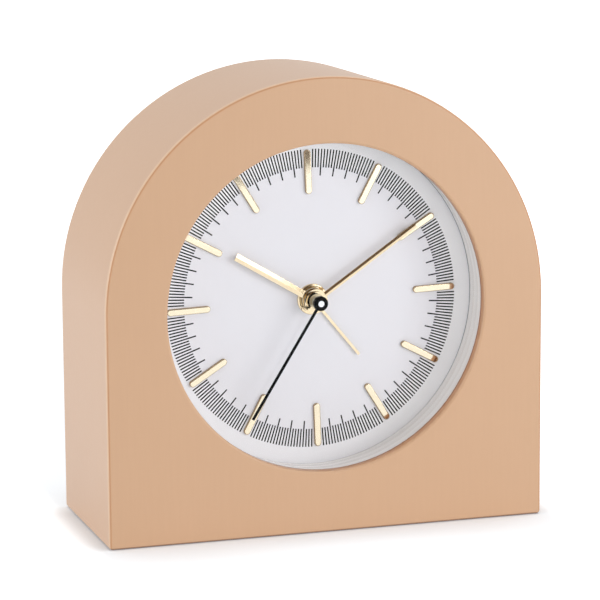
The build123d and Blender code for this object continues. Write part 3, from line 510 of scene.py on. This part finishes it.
# %% Dial eyelet
def spun(profile_mm, start_y, steps=72):
    """A ring from (radius, height toward the reader) points of its section, spun round the axis."""
    ring = bmesh.new()
    centre = Vector((axis_x, start_y, axis_z))
    points = [
        ring.verts.new(centre + Vector((radius * MM, -(height * MM), 0)))
        for radius, height in profile_mm
    ]
    edges = [ring.edges.new(pair) for pair in zip(points, points[1:] + points[:1])]
    bmesh.ops.spin(
        ring,
        geom=points + edges,
        cent=centre,
        axis=(0, 1, 0),
        angle=2 * pi,
        steps=steps,
        use_merge=True,
    )
    return ring


eyelet_profile = (
    (3.26, 0.22),
    (3.8, 0.22),
    (3.8, 0.0),
    (4.12, 0.0),
    (4.17, 0.06),
    (4.17, 0.2),
    (4.12, 0.3),
    (4.0, 0.38),
    (3.8, 0.43),
    (3.55, 0.43),
    (3.36, 0.39),
    (3.26, 0.32),
)
keep("dial_eyelet", spun(eyelet_profile, dial_y), "clock_case", hand_gold)

# %% [markdown]
# The dial lies a hair behind the white ring, and the shade in the gap reads as one thin blue-grey
# line. We lay a flat ring of that colour in the corner between the two as a painted shadow, and
# painted light makes it paler toward the lower left, where the light reaches into the gap.

# %% Painted shadow in the gap round the dial
painted_gap_shadow = finish("painted_gap_shadow", ((176, 180, 188), (166, 170, 179)), 6, (0.5, 0.6), 0.3, 0.002)
tree = painted_gap_shadow.node_tree
# Painted light: the ring of painted shadow turns paler toward the lower left.
lower_left_painted_light = ramp(tree, toward_upper_right(tree), 40 * MM, -10 * MM)
tint(painted_gap_shadow, lower_left_painted_light, (236, 236, 240))
gap_profile = ((44.62, -0.01), (44.79, -0.01), (44.79, 0.03), (44.62, 0.03))
gap = spun(gap_profile, dial_y, steps=144)
keep("dial_gap_painted_shadow", gap, "clock_case", painted_gap_shadow)

# %% [markdown]
# On the back, the two knobs need marks that say which way they turn. A raised arc with an arrow
# head is moulded into the cup's floor beside each one: the time knob turns both ways, so its arc
# has two heads, and the alarm knob only one way. An arc is a small square spun part of a turn, and
# a head is a three-sided cone segment, flattened.

# %% Turning arrows on the cup's floor
def arc_arrow(centre, floor_y, radius, start, end, heads):
    """A raised arc round a knob, seen from behind, with arrow heads at the named ends."""
    built = bmesh.new()
    bar, proud, head = 0.7 * MM, 0.25 * MM, 1.25 * MM
    at = Vector((centre.x, floor_y, centre.z))
    first = radians(start)
    out = Vector((cos(first), 0, sin(first)))
    corners = [
        built.verts.new(at + out * (radius + side * bar / 2) + Vector((0, rise, 0)))
        for side, rise in ((-1, -proud), (1, -proud), (1, proud), (-1, proud))
    ]
    face = built.faces.new(corners)
    bmesh.ops.spin(
        built,
        geom=[face, *face.edges, *face.verts],
        cent=at,
        axis=(0, -1, 0),
        angle=radians(end - start),
        steps=24,
        use_merge=False,
    )
    for angle, way in heads:
        turn = radians(angle)
        tip = at + Vector((cos(turn), 0, sin(turn))) * radius
        spin = Matrix.Rotation(-turn + (0 if way > 0 else pi), 4, "Y")
        lay = Matrix.Rotation(pi / 2, 4, "X")
        bmesh.ops.create_cone(
            built,
            cap_ends=True,
            segments=3,
            radius1=head,
            radius2=head,
            depth=2 * proud,
            matrix=Matrix.Translation(tip) @ spin @ lay,
        )
    return built


arrow_radius = 7.6 * MM
cup_floor_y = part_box("battery_door")[1].y - 0.3 * MM
for knob, name, start, end, heads in (
    ("time_knob", "time_arrows", 35, 145, ((35, -1), (145, 1))),
    ("alarm_knob", "alarm_arrow", 40, 140, ((140, 1),)),
):
    low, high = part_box(knob)
    arrow = arc_arrow((low + high) / 2, cup_floor_y, arrow_radius, start, end, heads)
    keep(name, arrow, "clock_case", control_black)

# %% [markdown]
# The clock stands on a plain white sweep. The floor takes the clock's soft shadow, and a glow that
# only the camera sees lifts it to white where no shadow falls. An Ambient Occlusion node takes that
# glow away close to the clock, more in front of it than behind, so that its contact shade stays,
# and the glow grows beside the clock and far from it. Reflections and glass see one even share of
# the glow. None of it lights the clock's matt surfaces.

# %% Floor and its white
def background_rays(tree):
    """1 for rays that see the background as it looks: camera, reflection and glass rays."""
    rays = tree.nodes.new("ShaderNodeLightPath")
    seen = maths(tree, "MAXIMUM", rays.outputs["Is Camera Ray"], rays.outputs["Is Glossy Ray"])
    return maths(tree, "MAXIMUM", seen, rays.outputs["Is Transmission Ray"])


sweep = bpy.data.materials.new("white_sweep")
sweep.use_nodes = True
tree = sweep.node_tree
tree.nodes.remove(tree.nodes["Principled BSDF"])
far_glow, side_glow, open_glow, least_glow, mirror_glow = 0.5, 0.42, 0.37, 0.06, 0.48
shade_reach, front_falloff, back_falloff = 30 * MM, 2.4, 0.6
far_from, far_to = 0.15, 0.9
side_from, side_to = 60.5 * MM, 68 * MM
behind_from, behind_to = 10 * MM, 26 * MM
matte = tree.nodes.new("ShaderNodeBsdfDiffuse")
matte.inputs["Color"].default_value = (0.87, 0.91, 0.955, 1)
lift = tree.nodes.new("ShaderNodeEmission")
spot = tree.nodes.new("ShaderNodeTexCoord")
spot.name = "place"
reach = tree.nodes.new("ShaderNodeVectorMath")
reach.operation = "LENGTH"
tree.links.new(spot.outputs["Object"], reach.inputs[0])
far = maths(tree, "MULTIPLY", ramp(tree, reach.outputs["Value"], far_from, far_to), far_glow)
point = place_axes(tree)
sideways = maths(tree, "ABSOLUTE", point["X"])
beside = maths(tree, "MULTIPLY", ramp(tree, sideways, side_from, side_to), side_glow)
shade_near = tree.nodes.new("ShaderNodeAmbientOcclusion")
shade_near.samples = 8
shade_near.inputs["Distance"].default_value = shade_reach
open_sky = maths(tree, "POWER", shade_near.outputs["AO"], front_falloff)
open_behind = maths(tree, "POWER", shade_near.outputs["AO"], back_falloff)
behind = ramp(tree, point["Y"], behind_from, behind_to)
open_behind = maths(tree, "MULTIPLY", open_behind, behind)
near = maths(tree, "MULTIPLY", maths(tree, "MAXIMUM", open_sky, open_behind), open_glow)
eye = tree.nodes.new("ShaderNodeLightPath").outputs["Is Camera Ray"]
seen = maths(tree, "ADD", near, maths(tree, "MAXIMUM", far, beside))
seen = maths(tree, "MULTIPLY", eye, maths(tree, "ADD", seen, least_glow))
mirrored = maths(tree, "SUBTRACT", background_rays(tree), eye)
mirrored = maths(tree, "MULTIPLY", mirrored, mirror_glow)
tree.links.new(maths(tree, "ADD", seen, mirrored), lift.inputs["Strength"])
both = tree.nodes.new("ShaderNodeAddShader")
tree.links.new(matte.outputs["BSDF"], both.inputs[0])
tree.links.new(lift.outputs["Emission"], both.inputs[1])
tree.links.new(both.outputs["Shader"], tree.nodes["Material Output"].inputs["Surface"])
floor_reach, floor_drop = 3.0, 0.05 * MM
ground = bmesh.new()
bmesh.ops.create_grid(ground, x_segments=1, y_segments=1, size=floor_reach)
bmesh.ops.translate(ground, verts=ground.verts, vec=(0, 0, -floor_drop))
floor_mesh = bpy.data.meshes.new("floor")
ground.to_mesh(floor_mesh)
ground.free()
floor_mesh.materials.append(sweep)
floor = bpy.data.objects.new("floor", floor_mesh)
bpy.context.scene.collection.objects.link(floor)
print("floor is", 2 * floor_reach, "m wide")

# %% [markdown]
# A white room gives most of the light, as in a photographer's tent. The world is plain white for
# what the camera, reflections and glass see, and half as bright for the soft light that it sheds.

# %% White room
world = bpy.data.worlds.new("white_room")
bpy.context.scene.world = world
world.use_nodes = True
tree = world.node_tree
tree.nodes.clear()
soft, white = (tree.nodes.new("ShaderNodeBackground") for _ in range(2))
soft.inputs["Color"].default_value = (1, 1, 1, 1)
soft.inputs["Strength"].default_value = 0.47
white.inputs["Color"].default_value = (1, 1, 1, 1)
white.inputs["Strength"].default_value = 1.0
pick = tree.nodes.new("ShaderNodeMixShader")
out = tree.nodes.new("ShaderNodeOutputWorld")
tree.links.new(background_rays(tree), pick.inputs["Fac"])
tree.links.new(soft.outputs["Background"], pick.inputs[1])
tree.links.new(white.outputs["Background"], pick.inputs[2])
tree.links.new(pick.outputs["Shader"], out.inputs["Surface"])
print("the room sheds light at", soft.inputs["Strength"].default_value)


# %% [markdown]
# Four soft lamps give the light its direction: one low on the right, one on the left behind the
# face, one far above, and one in front that opens up the dial. The front lamp isn't seen in
# reflections, because it would wash out the gold.

# %% Soft lamps
def hide_from(thing, rays):
    """Hides a lamp or an object from these kinds of ray."""
    for ray in rays:
        setattr(thing, f"visible_{ray}", False)


def soft_lamp(name, place, size, watts):
    """A square area lamp that looks at the clock's middle."""
    data = bpy.data.lights.new(name, "AREA")
    data.shape = "SQUARE"
    data.size = size
    data.energy = watts
    lamp = bpy.data.objects.new(name, data)
    lamp.location = place
    aim = Vector((0, 0, axis_z)) - lamp.location
    lamp.rotation_euler = aim.to_track_quat("-Z", "Y").to_euler()
    bpy.context.scene.collection.objects.link(lamp)
    print(name, "gives", watts, "W from", round(aim.length, 2), "m")
    return lamp


soft_lamp("right_lamp", (0.50, -0.70, 0.16), 0.5, 2.75)
soft_lamp("left_lamp", (-0.95, -0.04, 0.28), 0.4, 3.1)
soft_lamp("top_lamp", (0.50, -0.05, 1.1), 0.5, 2.6)
front_lamp = soft_lamp("front_lamp", (-0.10, -1.25, 0.20), 0.40, 2.2)
hide_from(front_lamp, ("glossy", "transmission"))

# %% [markdown]
# Polished gold only shows its shape where it reflects something dark. A photographer hangs a dark
# flag in front of the clock, above the lens, and the raised side of the minute hand shows it. The
# table ends half a metre in front of the clock, and the room beyond it is dark. Only the mirror of
# the topmost batons looks that far, and a low card there gives their outer ends the dark patch that
# they have in the photograph. Both cards are seen by reflections alone, and cast no shadow.

# %% Dark cards that only reflections see
card_brown = bpy.data.materials.new("card_brown")
card_brown.use_nodes = True
card_brown.node_tree.nodes["Principled BSDF"].inputs["Base Color"].default_value = (
    0.17, 0.11, 0.075, 1
)
card_brown.node_tree.nodes["Principled BSDF"].inputs["Specular IOR Level"].default_value = 0.0


def hang_card(name, width, height, turns, centre):
    """A flat card, turned about the named axes in order, that only reflections see."""
    built = bmesh.new()
    bmesh.ops.create_grid(built, x_segments=1, y_segments=1, size=0.5)
    bmesh.ops.scale(built, verts=built.verts, vec=(width, height, 1))
    for angle, axis in turns:
        turn = Matrix.Rotation(radians(angle), 3, axis)
        bmesh.ops.rotate(built, verts=built.verts, matrix=turn)
    bmesh.ops.translate(built, verts=built.verts, vec=centre)
    mesh = bpy.data.meshes.new(name)
    built.to_mesh(mesh)
    built.free()
    mesh.materials.append(card_brown)
    card = bpy.data.objects.new(name, mesh)
    hide_from(card, ("camera", "diffuse", "shadow"))
    bpy.context.scene.collection.objects.link(card)
    print(name, "is", width, "by", height, "m")


hang_card("black_flag", 0.75, 0.9, ((60, "X"),), (0.05, -1.10, 0.60))
hang_card("dark_room", 0.6, 0.1, ((90, "X"), (-10, "Y")), (0.2, -0.5, 0.086))

# %% [markdown]
# The camera stands where the photographer did: a long lens, a little to the left of the clock and
# a little above it. The angles were worked out from the clock's corners in the picture.

# %% Camera
view_turn, view_rise, view_roll = radians(-17.473), radians(10.215), radians(-0.397)
view_distance = 768.293 * MM
target = Vector((-7.889, -25.0, 62.886)) * MM
back = Vector((
    sin(view_turn) * cos(view_rise),
    -cos(view_turn) * cos(view_rise),
    sin(view_rise),
))
right = (-back).cross(Vector((0, 0, 1))).normalized()
up = right.cross(-back)
rolled_right = right * cos(view_roll) + up * sin(view_roll)
rolled_up = up * cos(view_roll) - right * sin(view_roll)
lens = bpy.data.cameras.new("camera")
lens.lens = 177.02
lens.sensor_width = 36.0
lens.clip_start, lens.clip_end = 0.01, 50.0
camera = bpy.data.objects.new("camera", lens)
axes = Matrix((rolled_right, rolled_up, back)).transposed().to_4x4()
camera.matrix_world = Matrix.Translation(target + back * view_distance) @ axes
bpy.context.scene.collection.objects.link(camera)
bpy.context.scene.camera = camera
bpy.context.scene.view_settings.view_transform = "Standard"
print("camera stands", round(view_distance, 3), "m from the clock")

# %% Finish
print("the scene is built")
